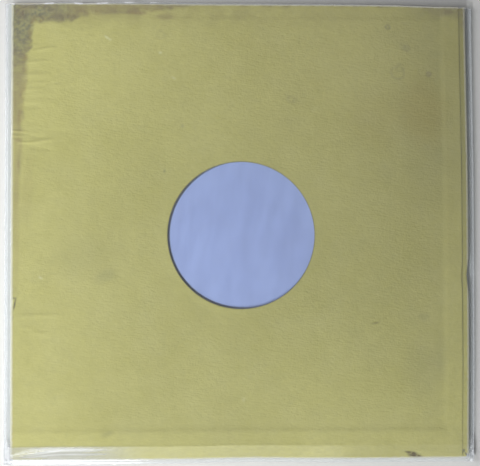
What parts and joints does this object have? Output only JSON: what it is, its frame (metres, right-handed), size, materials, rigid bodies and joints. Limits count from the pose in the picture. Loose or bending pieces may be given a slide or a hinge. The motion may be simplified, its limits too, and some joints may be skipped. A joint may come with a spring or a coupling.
{
  "type": "vinyl record in sleeve",
  "caption": "Twelve-inch vinyl record in a paper inner sleeve, a card jacket with a round window on both sides, and a clear film cover.",
  "frame": {"origin": "middle of the packed record's footprint, on the surface that it lies on", "axes": "+X to the right across the width, +Y up the jacket towards the mouths, +Z out of the front face"},
  "size_m": [0.3238, 0.3174, 0.0048],
  "materials": {
    "film": "clear soft film, a little hazy",
    "card": "uncoated yellow card, aged and stained",
    "sleeve_paper": "plain white paper with a blue cast",
    "glue": "dry paper glue",
    "vinyl": "glossy pressed vinyl with fine grooves",
    "label_paper": "plain uncoated label paper"
  },
  "bodies": {
    "cover": {"cover_front_film": "film", "cover_back_film": "film", "cover_left_weld": "film", "cover_right_weld": "film", "cover_bottom_fold": "film"},
    "jacket": {"jacket_front_panel": "card", "jacket_back_panel": "card", "jacket_spine_fold": "card", "jacket_right_fold": "card", "jacket_right_flap": "card", "jacket_bottom_fold": "card", "jacket_bottom_flap": "card", "jacket_glue_lines": "glue"},
    "paper_sleeve": {"sleeve_front_leaf": "sleeve_paper", "sleeve_back_leaf": "sleeve_paper", "sleeve_bottom_fold": "sleeve_paper", "sleeve_left_fold": "sleeve_paper", "sleeve_right_fold": "sleeve_paper", "sleeve_left_flap": "sleeve_paper", "sleeve_right_flap": "sleeve_paper", "sleeve_glue_lines": "glue"},
    "disc": {"disc": "vinyl", "label_side_a": "label_paper", "label_side_b": "label_paper"}
  },
  "joints": [
    {"name": "jacket_slide", "type": "slide", "parent": "cover", "child": "jacket", "axis": [0, 1, 0], "range_m": [0, 0.32]},
    {"name": "sleeve_slide", "type": "slide", "parent": "jacket", "child": "paper_sleeve", "axis": [0, 1, 0], "range_m": [0, 0.315]},
    {"name": "disc_slide", "type": "slide", "parent": "paper_sleeve", "child": "disc", "axis": [0, 1, 0], "range_m": [0, 0.312]}
  ]
}
